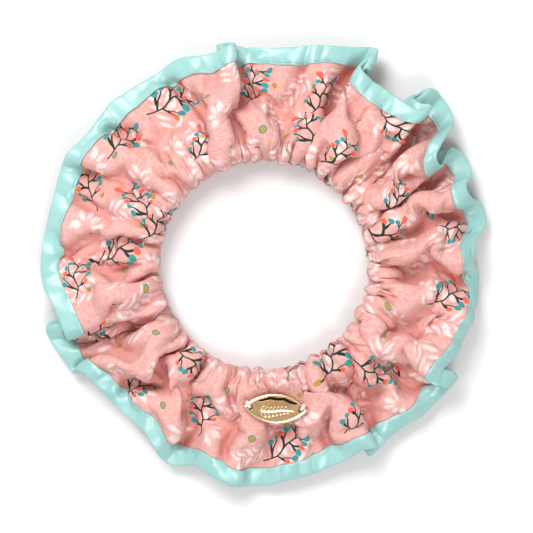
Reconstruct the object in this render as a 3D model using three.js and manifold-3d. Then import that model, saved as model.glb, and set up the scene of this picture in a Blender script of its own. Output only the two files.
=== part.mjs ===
// Ruffled hair scrunchie: a folded strip of printed cotton gathered on an elastic loop, its open outer
// edge bound with satin tape, and a small metal charm sewn to the front.
// Millimetres, +Z up. The ring lies flat: the origin is its centre on the plane that it rests on, and -Y
// is the front, where the charm is. The soft ring is divided into eight sectors that slide apart along
// the chords between them as the elastic stretches. The sector at the back is two halves that always
// move alike, so the ring stays closed.
import * as THREE from "three";
import Module from "manifold-3d";
import { mergeVertices } from "three/addons/utils/BufferGeometryUtils.js";

const wasm = await Module();
wasm.setup();

// Ring
const SECTORS = 8;
const SECTOR = (2 * Math.PI) / SECTORS;
const STEPS_PER_SECTOR = 14;
const SECTOR_GAP = 0.3; // between the ends of neighbouring sectors
const INNER_R = 28.5; // inner fold of the cotton
const OUTER_R = 60; // outer edge of the satin tape, before its folds

// Gathered cotton tube
const TUBE_HEIGHT = 12;
const FOLD_Z = 5.8; // height of the inner fold
const WALL = 1; // bulk of the gathered cotton
const CROWN_IN_R = 35; // the tube is level between these two radii, above and below
const CROWN_OUT_R = 44;
const BASE_IN_R = 33;
const BASE_OUT_R = 43;
const CAVITY_OUT_R = 48;
const CAVITY_TIP_Z = 8.2;
const TUBE_MIDDLE = [39, 6.4]; // radius and height

// Frill outside the tube: both layers together, in folds that rise and fall
const FRILL_IN_R = 50.5;
const FRILL_OUT_R = 57;
const FRILL_Z = 9; // before the folds lift or lower it
const FRILL_HALF = 1;

// The folds at the ring's edge: degrees anticlockwise from +X, radius of the edge, and its height.
const FOLDS = [
  [-180, 60, 6],
  [-161, 58, 11],
  [-155, 61, 4],
  [-148, 57.5, 9],
  [-135, 56, 6],
  [-122, 57, 8],
  [-114, 58, 5],
  [-103, 58.5, 9.5],
  [-96, 60, 5.5],
  [-80, 58.5, 6],
  [-66, 57.5, 6.5],
  [-58, 57.5, 10],
  [-50, 58.5, 5],
  [-41, 58.5, 6],
  [-33, 56.5, 11.5],
  [-20, 57, 7],
  [-10, 58.5, 5],
  [3, 57, 12],
  [12, 61.3, 4],
  [19, 58, 11],
  [25, 60.5, 4],
  [31, 56, 13.5],
  [39, 62, 4.5],
  [52, 57.5, 13.5],
  [63, 62, 6],
  [76, 61, 8],
  [91, 59.5, 7],
  [98, 60, 12],
  [107, 59, 8],
  [119, 59, 6],
  [135, 60, 5],
  [150, 60.5, 8],
  [165, 59.5, 5],
];

// Satin binding tape, folded over the frill's edge
const TAPE_IN_R = 52.5;
const TAPE_WALL = 0.7;
const CLEAR = 0.3; // between neighbouring solids
const TAPE_HALF = FRILL_HALF + CLEAR + TAPE_WALL;
const TAPE_NOSE = 1.8; // radial length of the rounded edge

// Stitching thread
const THREAD = 0.4;
const STITCH_R = 53.3;

// Elastic
const ELASTIC_R = 33.3; // middle of its thickness
const ELASTIC_THICK = 0.9;
const ELASTIC_WIDTH = 6;
const ELASTIC_Z = 2.5;
const LAP_SHIFT = 0.65; // each lapped end steps this far off the middle line
const LAP_ANGLE = 0.16; // how far each end runs past the back of the ring
const LAP_RAMP = 0.14; // angle over which it steps aside
const JOIN_WIDTH = 1.6; // of the zigzag stitching across the lap

// Charm: a pointed oval plate with a raised rim and a sewing hole at each end
const CHARM_X = 2.9;
const CHARM_Y = -38.4;
const CHARM_TURN = -0.052; // about +Z
const CHARM_LENGTH = 17.6;
const CHARM_WIDTH = 8;
const CHARM_THICK = 0.8;
const RIM = 0.7;
const RIM_HEIGHT = 0.4;
const HOLE_R = 0.75;
const HOLE_X = 6.9;
const CHARM_THREAD = 0.5;
const THREAD_REACH = 1.95; // from the middle of the hole, over the plate's upper edge
const THREAD_LEAN = Math.PI / 3; // from the plate's long axis

const COTTON = new THREE.MeshStandardMaterial({ color: 0xf4b5ae, roughness: 0.9 });
const SATIN = new THREE.MeshStandardMaterial({ color: 0xaeeae0, roughness: 0.45 });
const RUBBER = new THREE.MeshStandardMaterial({ color: 0xf2f0ec, roughness: 0.8 });
const GOLD = new THREE.MeshStandardMaterial({ color: 0xcfa968, roughness: 0.3, metalness: 1 });
const THREAD_WHITE = new THREE.MeshStandardMaterial({ color: 0xf6f0ea, roughness: 0.7 });
const THREAD_MINT = new THREE.MeshStandardMaterial({ color: 0x9edfd6, roughness: 0.6 });

const scrunchie = new THREE.Group();

function addPiece(name, geometry, material, parent = scrunchie) {
  const mesh = new THREE.Mesh(geometry, material);
  mesh.name = name;
  parent.add(mesh);
  return mesh;
}

// Radius and height of the ring's edge at an angle, eased from each fold to the next.
const CLOSED_FOLDS = [...FOLDS, [180, ...FOLDS[0].slice(1)]];
function edgeAt(angle) {
  const { euclideanModulo, radToDeg, smoothstep, lerp } = THREE.MathUtils;
  const degrees = euclideanModulo(radToDeg(angle) + 180, 360) - 180;
  const next = CLOSED_FOLDS.findIndex(([at]) => at > degrees);
  const [fromAt, ...from] = CLOSED_FOLDS[next - 1];
  const [toAt, ...to] = CLOSED_FOLDS[next];
  const share = smoothstep(degrees, fromAt, toAt);
  return from.map((value, i) => lerp(value, to[i], share));
}

// A point of a section, moved with the fold at its angle: the tube stays, and the frill moves whole.
function fold(radius, height, angle) {
  const share = THREE.MathUtils.smoothstep(radius, BASE_OUT_R, FRILL_IN_R);
  const [edgeRadius, edgeHeight] = edgeAt(angle);
  return [radius + share * (edgeRadius - OUTER_R), height + share * (edgeHeight - FRILL_Z)];
}

// A section drawn as (radius, height), swept about +Z from one angle to another. shift(angle) moves it
// outwards.
function sweep(section, from, to, steps, shift = () => 0) {
  const geometry = new THREE.ExtrudeGeometry(section, {
    depth: to - from,
    steps,
    curveSegments: 3,
    bevelEnabled: false,
  });
  const at = geometry.getAttribute("position");
  for (let i = 0; i < at.count; i++) {
    const angle = to - at.getZ(i);
    const [folded, height] = fold(at.getX(i), at.getY(i), angle);
    const radius = folded + shift(angle);
    at.setXYZ(i, radius * Math.cos(angle), radius * Math.sin(angle), height);
  }
  return geometry;
}

function cottonSection() {
  const top = TUBE_HEIGHT;
  const tube = new THREE.Shape();
  tube.moveTo(FRILL_OUT_R, FRILL_Z - FRILL_HALF);
  tube.lineTo(FRILL_OUT_R, FRILL_Z + FRILL_HALF);
  tube.lineTo(FRILL_IN_R, FRILL_Z + FRILL_HALF);
  tube.lineTo(CROWN_OUT_R, top);
  tube.lineTo(CROWN_IN_R, top);
  tube.quadraticCurveTo(INNER_R + 0.5, top - 0.5, INNER_R, FOLD_Z);
  tube.quadraticCurveTo(INNER_R + 0.1, 0.5, BASE_IN_R, 0);
  tube.lineTo(BASE_OUT_R, 0);
  tube.lineTo(FRILL_IN_R, FRILL_Z - FRILL_HALF);
  tube.closePath();

  const cavity = new THREE.Path();
  cavity.moveTo(CAVITY_OUT_R, CAVITY_TIP_Z);
  cavity.lineTo(CROWN_OUT_R, top - WALL);
  cavity.lineTo(CROWN_IN_R + 0.3, top - WALL);
  cavity.quadraticCurveTo(INNER_R + 1.5, top - WALL - 0.4, INNER_R + WALL, FOLD_Z);
  cavity.quadraticCurveTo(INNER_R + 1.2, WALL + 0.2, BASE_IN_R + 0.4, WALL);
  cavity.lineTo(BASE_OUT_R - 0.4, WALL);
  cavity.closePath();
  tube.holes.push(cavity);
  return tube;
}

function tapeSection() {
  const tape = new THREE.Shape();
  tape.moveTo(TAPE_IN_R, FRILL_Z + TAPE_HALF);
  tape.lineTo(TAPE_IN_R, FRILL_Z + TAPE_HALF - TAPE_WALL);
  tape.lineTo(FRILL_OUT_R + CLEAR, FRILL_Z + TAPE_HALF - TAPE_WALL);
  tape.lineTo(FRILL_OUT_R + CLEAR, FRILL_Z - TAPE_HALF + TAPE_WALL);
  tape.lineTo(TAPE_IN_R, FRILL_Z - TAPE_HALF + TAPE_WALL);
  tape.lineTo(TAPE_IN_R, FRILL_Z - TAPE_HALF);
  tape.lineTo(OUTER_R - TAPE_NOSE, FRILL_Z - TAPE_HALF);
  tape.lineTo(OUTER_R, FRILL_Z);
  tape.lineTo(OUTER_R - TAPE_NOSE, FRILL_Z + TAPE_HALF);
  tape.closePath();
  return tape;
}

function boxSection(radius, low, thick, height) {
  const box = new THREE.Shape();
  box.moveTo(radius - thick / 2, low);
  box.lineTo(radius + thick / 2, low);
  box.lineTo(radius + thick / 2, low + height);
  box.lineTo(radius - thick / 2, low + height);
  box.closePath();
  return box;
}

const COTTON_SECTION = cottonSection();
const TAPE_SECTION = tapeSection();
const STITCH_SECTION = boxSection(STITCH_R, FRILL_Z + TAPE_HALF + CLEAR, THREAD, THREAD);
const ELASTIC_SECTION = boxSection(ELASTIC_R, ELASTIC_Z, ELASTIC_THICK, ELASTIC_WIDTH);

// The sectors run anticlockwise from the front. The back one is halved at the ring's closing seam.
const FRONT = -Math.PI / 2;
const BACK = Math.PI / 2;
const PLACES = ["front", "front_right", "right", "back_right", "back", "back_left", "left", "front_left"];
const sectors = PLACES.flatMap((place, i) => {
  const middle = FRONT + i * SECTOR;
  if (place !== "back") return [{ place, from: middle - SECTOR / 2, to: middle + SECTOR / 2 }];
  return [
    { place: "back_right_end", from: BACK - SECTOR / 2, to: BACK, lap: -1 },
    { place: "back_left_end", from: BACK, to: BACK + SECTOR / 2, lap: 1 },
  ];
});

// The end gap as an angle at the radius of the section's middle.
const gapAt = (radius) => SECTOR_GAP / 2 / radius;

function addSector({ place, from, to, lap }) {
  const steps = lap ? STEPS_PER_SECTOR / 2 : STEPS_PER_SECTOR;
  const gap = gapAt(INNER_R);
  addPiece(`cover_${place}`, sweep(COTTON_SECTION, from + gap, to - gap, steps), COTTON);
  addPiece(`binding_${place}`, sweep(TAPE_SECTION, from + gap, to - gap, steps), SATIN);
  addPiece(`binding_stitch_${place}`, sweep(STITCH_SECTION, from + gap, to - gap, steps), THREAD_MINT);
  addElastic(place, from + gap, to - gap, steps, lap);
}

// At the back the elastic's two ends run past each other, the left one inside the right one.
function addElastic(place, from, to, steps, lap) {
  if (!lap) {
    addPiece(`elastic_${place}`, sweep(ELASTIC_SECTION, from, to, steps), RUBBER);
    return;
  }
  const stepAside = (angle) => {
    const beforeBack = lap * (angle - BACK);
    return -lap * LAP_SHIFT * (1 - THREE.MathUtils.smoothstep(beforeBack, LAP_ANGLE, LAP_ANGLE + LAP_RAMP));
  };
  const start = lap > 0 ? BACK - LAP_ANGLE : from;
  const end = lap > 0 ? to : BACK + LAP_ANGLE;
  addPiece(`elastic_${place}`, sweep(ELASTIC_SECTION, start, end, steps + 3, stepAside), RUBBER);
}

sectors.forEach(addSector);

// Zigzag thread that joins the elastic's lapped ends, as one flat loop round both.
function addElasticJoin() {
  const half = LAP_SHIFT + ELASTIC_THICK / 2 + CLEAR;
  const low = ELASTIC_Z - CLEAR;
  const high = ELASTIC_Z + ELASTIC_WIDTH + CLEAR;
  const loop = new THREE.Shape();
  loop.moveTo(ELASTIC_R - half - THREAD, low - THREAD);
  loop.lineTo(ELASTIC_R + half + THREAD, low - THREAD);
  loop.lineTo(ELASTIC_R + half + THREAD, high + THREAD);
  loop.lineTo(ELASTIC_R - half - THREAD, high + THREAD);
  loop.closePath();
  const inside = new THREE.Path();
  inside.moveTo(ELASTIC_R - half, low);
  inside.lineTo(ELASTIC_R - half, high);
  inside.lineTo(ELASTIC_R + half, high);
  inside.lineTo(ELASTIC_R + half, low);
  inside.closePath();
  loop.holes.push(inside);
  const width = JOIN_WIDTH / ELASTIC_R;
  addPiece("elastic_join_thread", sweep(loop, BACK - 2 * width, BACK - width, 1), THREAD_WHITE);
}
addElasticJoin();

// Thread of the seam that closes the cotton strip into a ring: it runs round the inside of the tube.
function addCoverSeam() {
  const off = WALL + CLEAR;
  const outer = [
    [CAVITY_OUT_R - 1.4, CAVITY_TIP_Z],
    [CROWN_OUT_R - 0.2, TUBE_HEIGHT - off],
    [CROWN_IN_R + 0.4, TUBE_HEIGHT - off],
    [INNER_R + 3, TUBE_HEIGHT - off - 1.2],
    [INNER_R + off + 0.05, FOLD_Z],
    [INNER_R + 2.6, off + 0.9],
    [BASE_IN_R + 0.6, off],
    [BASE_OUT_R - 0.7, off],
  ];
  const inner = outer.map(([r, z]) => {
    const [inR, inZ] = [TUBE_MIDDLE[0] - r, TUBE_MIDDLE[1] - z];
    const share = THREAD / Math.hypot(inR, inZ);
    return [r + inR * share, z + inZ * share];
  });
  const ring = new THREE.Shape(outer.map(([r, z]) => new THREE.Vector2(r, z)));
  ring.holes.push(new THREE.Path(inner.map(([r, z]) => new THREE.Vector2(r, z))));
  const gap = gapAt(INNER_R);
  const width = THREAD / BASE_IN_R;
  addPiece("cover_seam_thread", sweep(ring, BACK - gap - width, BACK - gap, 1), THREAD_WHITE);
}
addCoverSeam();

// A pointed oval: two arcs through its tips and its widest points.
function pointedOval(length, width) {
  const a = length / 2;
  const b = width / 2;
  const radius = (a * a + b * b) / (2 * b);
  const half = Math.asin(a / radius);
  const shape = new THREE.Shape();
  shape.absarc(0, b - radius, radius, Math.PI / 2 - half, Math.PI / 2 + half, false);
  shape.absarc(0, radius - b, radius, -Math.PI / 2 - half, -Math.PI / 2 + half, false);
  return shape;
}

function toSolid(geometry) {
  const bare = geometry.clone();
  bare.deleteAttribute("normal");
  bare.deleteAttribute("uv");
  const merged = mergeVertices(bare, 1e-4);
  return new wasm.Manifold(
    new wasm.Mesh({
      numProp: 3,
      vertProperties: merged.getAttribute("position").array,
      triVerts: new Uint32Array(merged.index.array),
    }),
  );
}

function toGeometry(solid) {
  const { vertProperties, triVerts } = solid.getMesh();
  const geometry = new THREE.BufferGeometry();
  geometry.setAttribute("position", new THREE.BufferAttribute(vertProperties, 3));
  geometry.setIndex(new THREE.BufferAttribute(triVerts, 1));
  geometry.computeVertexNormals();
  return geometry;
}

function plate(shape, depth, z) {
  const geometry = new THREE.ExtrudeGeometry(shape, { depth, curveSegments: 12, bevelEnabled: false });
  return geometry.translate(0, 0, z);
}

// The plate with its recessed face, and a loop of thread through the hole at each end.
function addCharm() {
  const charm = new THREE.Group();
  charm.position.set(CHARM_X, CHARM_Y, TUBE_HEIGHT + CLEAR);
  charm.rotation.z = CHARM_TURN;
  scrunchie.add(charm);

  const blank = plate(pointedOval(CHARM_LENGTH, CHARM_WIDTH), CHARM_THICK + RIM_HEIGHT, 0);
  const recess = plate(pointedOval(CHARM_LENGTH - 4 * RIM, CHARM_WIDTH - 2 * RIM), 2, CHARM_THICK);
  let solid = toSolid(blank).subtract(toSolid(recess));
  for (const side of [-1, 1]) {
    const drill = new THREE.CylinderGeometry(HOLE_R, HOLE_R, 4, 12).rotateX(Math.PI / 2);
    solid = solid.subtract(toSolid(drill.translate(side * HOLE_X, 0, 0)));
  }
  addPiece("charm_plate", toGeometry(solid), GOLD, charm);

  for (const [name, side] of [["charm_thread_left", -1], ["charm_thread_right", 1]]) {
    const down = CHARM_THREAD / 2;
    const up = CHARM_THICK + RIM_HEIGHT + CLEAR + CHARM_THREAD / 2;
    const path = new THREE.CurvePath();
    const corners = [
      [0, down],
      [0, up],
      [THREAD_REACH, up],
      [THREAD_REACH, down],
    ].map(([run, z]) => {
      const x = HOLE_X + run * Math.cos(THREAD_LEAN);
      return new THREE.Vector3(side * x, run * Math.sin(THREAD_LEAN), z);
    });
    for (let i = 0; i < corners.length - 1; i++) path.add(new THREE.LineCurve3(corners[i], corners[i + 1]));
    const wire = new THREE.Shape().absarc(0, 0, CHARM_THREAD / 2, 0, 2 * Math.PI, false);
    const geometry = new THREE.ExtrudeGeometry(wire, { steps: 18, curveSegments: 4, extrudePath: path });
    addPiece(name, geometry, THREAD_WHITE, charm);
  }
}
addCharm();

export default scrunchie;
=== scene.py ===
"""A ruffled hair scrunchie, lying flat: printed cotton gathered on an elastic loop, its open outer edge bound
with satin tape, and a small gold charm sewn to the front. Blender works in metres; lengths here are in
millimetres until a mesh is made. The front is -Y, and angles run anticlockwise from +X.
"""
import math

import bpy
import numpy as np
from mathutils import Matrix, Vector


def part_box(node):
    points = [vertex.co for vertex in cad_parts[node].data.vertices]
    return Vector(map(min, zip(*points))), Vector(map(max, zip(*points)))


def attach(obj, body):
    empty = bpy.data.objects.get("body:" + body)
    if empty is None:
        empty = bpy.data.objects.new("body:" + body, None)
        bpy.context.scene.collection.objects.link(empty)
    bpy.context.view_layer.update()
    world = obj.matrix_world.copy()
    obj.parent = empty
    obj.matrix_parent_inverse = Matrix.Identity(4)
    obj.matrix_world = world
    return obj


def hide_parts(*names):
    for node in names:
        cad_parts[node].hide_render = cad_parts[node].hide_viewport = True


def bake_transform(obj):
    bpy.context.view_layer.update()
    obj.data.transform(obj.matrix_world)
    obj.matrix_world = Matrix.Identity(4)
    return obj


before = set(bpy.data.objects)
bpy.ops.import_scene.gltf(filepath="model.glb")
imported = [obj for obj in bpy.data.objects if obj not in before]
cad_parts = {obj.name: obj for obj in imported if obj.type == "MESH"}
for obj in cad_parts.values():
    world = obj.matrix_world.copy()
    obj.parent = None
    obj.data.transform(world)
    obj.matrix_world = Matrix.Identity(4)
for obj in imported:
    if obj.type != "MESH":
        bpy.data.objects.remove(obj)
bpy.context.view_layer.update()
MM = 0.001


def cad_box(node):
    """The lowest and highest corners of a CAD node, in millimetres."""
    return tuple(np.array(corner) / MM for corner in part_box(node))


# The cotton strip: its free edges meet at the frill's edge, and its middle is the ring's inner fold. From the
# fold the top layer rises to a crown, and the bottom one drops to a base and lies flat as far as GROUND_R.
INNER_R = 28.5
FOLD_Z = 6.0
CROWN_R = 35.5
CROWN_Z = 12.3
CROWN_AT = 10.4  # this and BASE_AT are distances from the fold, measured in the cloth
BASE_AT = 8.4
FLAT_RUN = 10.5
CROWN_PUFF = 5.0
BASE_R = 33.5
BASE_Z = 0.9
GROUND_R = 44.0
FLOOR_Z = 0.35
HALF_WIDTH = 38.0
COLUMNS = 880
ROWS = 113
SEED = 7

# Over the last stretch of the strip, its two layers lie together as the frill, FRILL_GAP apart.
FRILL_FROM = 31.0
FRILL_GAP = 0.5
FRILL_BLEND = 8.0

# The charm: a pointed oval, turned a little. It is sewn down into the cloth, which rises again around it.
CHARM_X = 2.9
CHARM_Y = -38.4
CHARM_TURN = -0.052
CHARM_LENGTH = 17.6
CHARM_WIDTH = 8.0
CHARM_SINK = 0.7
CHARM_DENT_SLOPE = 4.0

# The free edge of the frill: x, y, z, anticlockwise from the closing seam at the back. Where the path turns
# back on itself, the cloth lies in an overlapping pleat.
EDGE_POINTS = [
    (2.0, 58.3, 7.5), (-4.5, 58.5, 6.5), (-9.5, 58.9, 7.2), (-12.6, 59.0, 8.6), (-10.8, 59.5, 10.8),
    (-8.4, 59.4, 12.2), (-10.4, 58.3, 12.2), (-13.2, 57.1, 10.5), (-17.2, 56.1, 8.5), (-22.8, 55.5, 6.5),
    (-29.2, 51.5, 5.5), (-35.2, 47.5, 5.0), (-42.0, 42.7, 5.0), (-48.0, 35.1, 6.5), (-52.3, 30.8, 8.0),
    (-54.0, 28.0, 7.5), (-55.2, 24.3, 6.0), (-57.6, 15.5, 5.0), (-59.3, 8.5, 5.0), (-60.0, 2.0, 5.5),
    (-59.8, -3.5, 7.0), (-58.7, -7.0, 8.5), (-56.6, -10.6, 10.0), (-55.0, -13.9, 11.2), (-53.7, -17.3, 11.8),
    (-52.6, -19.8, 11.0), (-53.4, -19.0, 9.0), (-54.8, -16.0, 7.6), (-56.4, -14.8, 6.6), (-58.8, -16.6, 5.0),
    (-58.4, -19.4, 3.4), (-56.2, -22.6, 2.6), (-53.7, -26.0, 2.6), (-51.8, -28.9, 4.0), (-50.0, -28.4, 7.5),
    (-47.9, -29.4, 9.8), (-45.8, -31.5, 9.2), (-43.3, -34.4, 7.5), (-39.5, -38.2, 6.5), (-35.3, -41.9, 6.5),
    (-32.2, -44.6, 7.2), (-30.1, -48.2, 8.2), (-28.2, -51.5, 6.5), (-25.7, -53.6, 4.8), (-22.8, -54.0, 4.8),
    (-19.5, -53.6, 7.0), (-17.0, -54.4, 9.0), (-14.1, -56.5, 10.0), (-11.5, -57.9, 9.5), (-8.6, -59.5, 7.2),
    (-6.0, -59.6, 4.5), (-2.8, -59.4, 4.0), (1.5, -59.2, 4.5), (5.0, -58.2, 5.0), (12.5, -56.1, 6.0),
    (18.8, -53.6, 7.0), (23.0, -51.5, 8.8), (26.3, -49.4, 10.2), (29.3, -48.8, 10.0), (29.2, -49.9, 8.2),
    (27.2, -50.8, 6.8), (28.6, -51.3, 5.2), (31.5, -48.6, 4.6), (34.3, -45.7, 4.8), (38.8, -42.7, 5.0),
    (43.0, -40.0, 5.0), (48.0, -34.8, 5.0), (50.8, -31.8, 5.6), (52.0, -30.0, 7.0), (50.2, -31.0, 8.8),
    (47.5, -33.2, 10.4), (46.6, -31.4, 11.4), (47.3, -28.8, 11.4), (48.9, -26.5, 10.4), (50.9, -24.4, 8.8),
    (52.4, -21.9, 7.6), (53.5, -19.0, 7.0), (55.1, -16.0, 6.5), (56.6, -12.3, 5.2), (57.5, -8.9, 4.2),
    (57.9, -4.8, 4.2), (57.6, -1.8, 5.2), (56.2, 0.0, 7.6), (55.7, 2.2, 9.4), (56.0, 4.6, 9.6),
    (57.0, 7.2, 8.0), (58.5, 9.3, 6.0), (59.7, 11.0, 4.4), (59.8, 13.2, 3.8), (59.1, 15.4, 4.2),
    (57.6, 17.0, 6.0), (55.9, 17.8, 8.4), (54.5, 19.2, 10.4), (53.9, 21.2, 10.8), (54.5, 22.8, 9.0),
    (55.6, 24.4, 6.4), (55.3, 27.0, 4.2), (53.5, 30.0, 3.6), (51.0, 31.6, 4.4), (49.2, 30.0, 6.6),
    (47.8, 27.0, 9.0), (46.4, 27.2, 11.2), (45.8, 29.2, 12.8), (46.4, 31.4, 13.4), (48.0, 34.2, 12.2),
    (49.9, 36.9, 9.4), (50.8, 39.2, 6.8), (50.1, 41.7, 4.8), (48.2, 44.8, 4.6), (46.4, 46.9, 6.4),
    (44.4, 47.4, 8.4), (41.6, 46.0, 8.4), (39.8, 44.6, 9.0), (41.8, 43.2, 11.0), (44.4, 42.7, 12.8),
    (43.0, 41.6, 14.2), (40.7, 41.5, 14.4), (38.6, 42.4, 14.2), (35.1, 44.8, 13.8), (31.3, 47.3, 13.8),
    (28.0, 49.8, 13.8), (26.2, 51.8, 13.2), (25.8, 53.4, 11.8), (27.6, 55.4, 9.8), (30.4, 57.6, 7.8),
    (29.4, 58.6, 6.2), (24.3, 58.7, 6.2), (14.0, 59.0, 7.2), (8.0, 58.6, 7.6),
]
EDGE_RIPPLE = 0.6
RIPPLE_LENGTH = 3.2

# The strip's columns run to the edge's own angles, evened out round the ring over this length.
SMOOTHING = 26.0

# Where the frill's last stretch hangs down steeply, from 0 to 1 at each angle in degrees, and how far the
# cloth above it bulges out and up.
HANGING = [(-52, 0), (-44, 0.5), (-36, 0), (-30, 0.5), (-20, 0.9), (-8, 1), (2, 0.7), (7, 0), (180, 0)]
HANG_OUT = 2.2
HANG_UP = 3.0

# The random gathers that run out from the inner fold, fine and long, and the broad folds between them.
FINE_GATHERS = {"pitch": 7.4, "rise": 0.75, "reach": 24, "slant": 0.06}
LONG_GATHERS = {"pitch": 13, "rise": 1.3, "reach": 30, "slant": 0.1}
SWELL_PITCH = 19
SWELL_RISE = 1.4

# A valley of depth 1: how far its floor sinks, its shoulder rises and the panel beside it leans over it, and
# how far to the side and how widely each of the three acts.
VALLEY_SINK, SINK_WIDTH = 4.2, 2.3
VALLEY_RISE, RISE_ASIDE, RISE_WIDTH = 1.2, 5.0, 3.6
VALLEY_LEAN, LEAN_ASIDE, LEAN_WIDTH = 0.8, 3.2, 2.8

# The main valleys in the top layer: their way in plan, their depth, and the side whose panel leans over
# them: 1 for the one further anticlockwise, -1 for the other.
VALLEYS = [
    ([(-6.8, 54.3), (-2.3, 48.2), (4.5, 41.3)], 4.2, -1),
    ([(10.4, 52.0), (11.0, 44.6), (6.7, 37.2)], 2.0, -1),
    ([(23.0, 51.5), (16.9, 41.8), (13.5, 31.5)], 2.6, -1),
    ([(40.0, 37.5), (32.0, 35.5), (22.0, 28.5)], 3.2, 1),
    ([(44.5, 22.8), (38.0, 20.0), (26.0, 17.0)], 3.0, 1),
    ([(51.0, 12.5), (40.0, 13.5), (30.5, 14.5)], 3.2, -1),
    ([(53.5, -2.7), (43.8, 0.0), (36.0, -1.5)], 2.6, 1),
    ([(46.0, -14.0), (40.5, -19.5), (35.4, -27.0)], 1.8, 1),
    ([(42.0, -32.0), (32.6, -27.0), (26.5, -15.0)], 2.8, 1),
    ([(28.0, -43.0), (24.3, -31.4), (20.5, -22.0)], 3.2, -1),
    ([(16.9, -47.2), (17.2, -37.0), (12.5, -28.5)], 2.2, 1),
    ([(-10.5, -49.0), (-8.6, -40.7), (-10.0, -33.0)], 2.4, -1),
    ([(-22.5, -47.5), (-17.8, -40.5), (-17.0, -26.0)], 3.4, -1),
    ([(-37.0, -34.0), (-29.5, -32.5), (-22.0, -22.0)], 2.8, 1),
    ([(-49.5, -20.0), (-41.5, -16.6), (-28.0, -11.5)], 3.6, -1),
    ([(-45.0, -7.5), (-36.0, -5.0), (-29.5, -2.5)], 1.6, 1),
    ([(-54.0, 3.8), (-44.3, 7.5), (-30.0, 6.0)], 2.8, -1),
    ([(-49.0, 16.8), (-44.3, 14.9), (-36.0, 12.1)], 2.6, 1),
    ([(-49.5, 24.9), (-41.0, 23.0), (-29.5, 19.5)], 3.4, -1),
    ([(-33.0, 26.0), (-28.5, 25.0), (-23.5, 21.5)], 1.4, 1),
    ([(-42.0, 36.0), (-34.5, 33.0), (-27.0, 30.0)], 4.4, 1),
    ([(-29.5, 40.0), (-24.5, 35.0), (-19.5, 28.5)], 1.8, 1),
    ([(-26.0, 50.0), (-21.0, 43.5), (-16.5, 34.0)], 4.4, 1),
]


def smoothstep(x, low, high):
    """0 up to low, 1 from high, eased in between."""
    t = np.clip((x - low) / (high - low), 0, 1)
    return t * t * (3 - 2 * t)


def closed_curve(points, samples):
    """Evenly spaced points along a smooth closed curve through the given points, and its length."""
    knots = np.array(points)
    fine = []
    share = np.linspace(0, 1, 24, endpoint=False)[:, None]
    for i in range(len(knots)):
        a, b, c, d = (knots[(i + k) % len(knots)] for k in (-1, 0, 1, 2))
        fine.append(0.5 * (2 * b + (c - a) * share + (2 * a - 5 * b + 4 * c - d) * share**2
                           + (3 * b - 3 * c + d - a) * share**3))
    fine = np.concatenate(fine)
    loop = np.vstack([fine, fine[:1]])
    along = np.concatenate([[0], np.cumsum(np.linalg.norm(np.diff(loop, axis=0), axis=1))])
    wanted = np.linspace(0, along[-1], samples, endpoint=False)
    return np.stack([np.interp(wanted, along, loop[:, k]) for k in range(3)], axis=1), along[-1]


def blur_round(values, step, sigma):
    """A closed row of values averaged with a bell of width sigma."""
    reach = int(3 * sigma / step)
    offsets = np.arange(-reach, reach + 1)
    bell = np.exp(-0.5 * (offsets * step / sigma) ** 2)
    padded = np.concatenate([values[-reach:], values, values[:reach]])
    return np.convolve(padded, bell / bell.sum(), mode="valid")


def wander(rng, scale):
    """A smooth closed random row with a spread of 1, one value for each column."""
    row = blur_round(rng.normal(size=COLUMNS), DU, scale)
    return (row - row.mean()) / row.std()


EDGE, EDGE_LENGTH = closed_curve(EDGE_POINTS, COLUMNS)
DU = EDGE_LENGTH / COLUMNS
EDGE[:, 2] += EDGE_RIPPLE * wander(np.random.default_rng(SEED + 2), RIPPLE_LENGTH)
DV = 2 * HALF_WIDTH / (ROWS - 1)
ALONG = np.arange(COLUMNS) * DU
ACROSS = np.linspace(-HALF_WIDTH, HALF_WIDTH, ROWS)
# For each row, by its distance from the fold: the share of the cloth's length that the modelled gathers can
# hold, and how firmly settling keeps the row in its place.
FULLNESS = np.interp(np.abs(ACROSS), (0, 8, 16, 32), (0.42, 0.68, 0.98, 1.0))
HOLD = np.interp(np.abs(ACROSS), (0, 6, 14, 22, 28, 34), (0.6, 0.25, 0.03, 0.03, 0.2, 0.5))


def wrapped(along):
    """The shortest way round the strip."""
    return (along + EDGE_LENGTH / 2) % EDGE_LENGTH - EDGE_LENGTH / 2


def inner_angles():
    """The angle at which each column of cloth reaches the inner fold: the edge's own, evened out."""
    angle = np.unwrap(np.arctan2(EDGE[:, 1], EDGE[:, 0]))
    drift = angle - ALONG / EDGE_LENGTH * 2 * math.pi
    return blur_round(drift, DU, SMOOTHING) + ALONG / EDGE_LENGTH * 2 * math.pi


def polar(radius, angle, height):
    """Points at a radius and an angle, each of which may be a number, a column or a whole grid."""
    return np.stack(np.broadcast_arrays(radius * np.cos(angle), radius * np.sin(angle), height), axis=-1)


def top_layer(phi, s):
    """From the inner fold in a quarter turn up to the crown, then puffed out to the frill's edge."""
    turn = np.clip(s / CROWN_AT, 0, 1) * math.pi / 2
    radius = CROWN_R - (CROWN_R - INNER_R) * np.cos(turn)
    inner = polar(radius, phi, FOLD_Z + (CROWN_Z - FOLD_Z) * np.sin(turn))
    crown = polar(CROWN_R, phi, CROWN_Z)
    t = np.clip((s - CROWN_AT) / (HALF_WIDTH - CROWN_AT), 0, 1)[..., None]
    puff = np.array([0, 0, CROWN_PUFF]) * t * (1 - t) ** 2
    outer = crown + (EDGE[:, None, :] - crown) * t + puff
    return np.where((s <= CROWN_AT)[..., None], inner, outer)


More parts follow.
